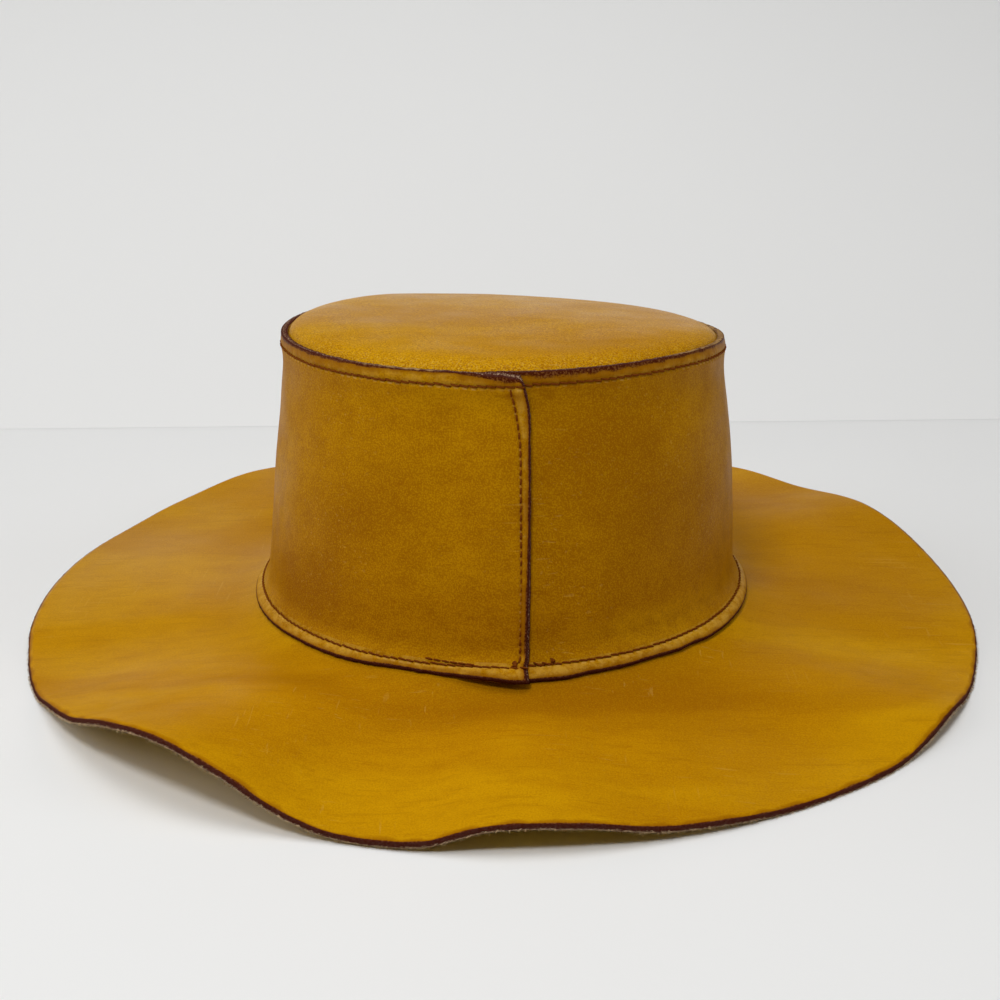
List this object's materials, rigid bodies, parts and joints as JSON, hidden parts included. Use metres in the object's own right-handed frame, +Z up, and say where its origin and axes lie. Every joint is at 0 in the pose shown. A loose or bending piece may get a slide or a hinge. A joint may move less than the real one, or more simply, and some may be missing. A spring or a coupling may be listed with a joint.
{
  "type": "leather cowboy hat",
  "caption": "Wide-brimmed leather hat: an oval crown sewn from one lapped strip, a domed top and a wavy brim that it rests on.",
  "frame": {"origin": "on the surface that the hat rests on, under the middle of the brim", "axes": "+Z up; +Y towards the front of the hat, with the back seam towards -Y; +X to the wearer's right"},
  "size_m": [0.3498, 0.3919, 0.115],
  "materials": {
    "crown_leather": "mustard brown vegetable-tanned leather, waxed and softly glossy, raw edges dyed dark",
    "top_leather": "mustard brown vegetable-tanned leather, glossier and finely wrinkled at the shoulder",
    "brim_leather": "mustard yellow vegetable-tanned leather, clouded with brown, raw edge dyed dark, suede underside"
  },
  "bodies": {
    "root": {"crown_wall": "crown_leather", "crown_top": "top_leather", "brim": "brim_leather"}
  },
  "joints": []
}
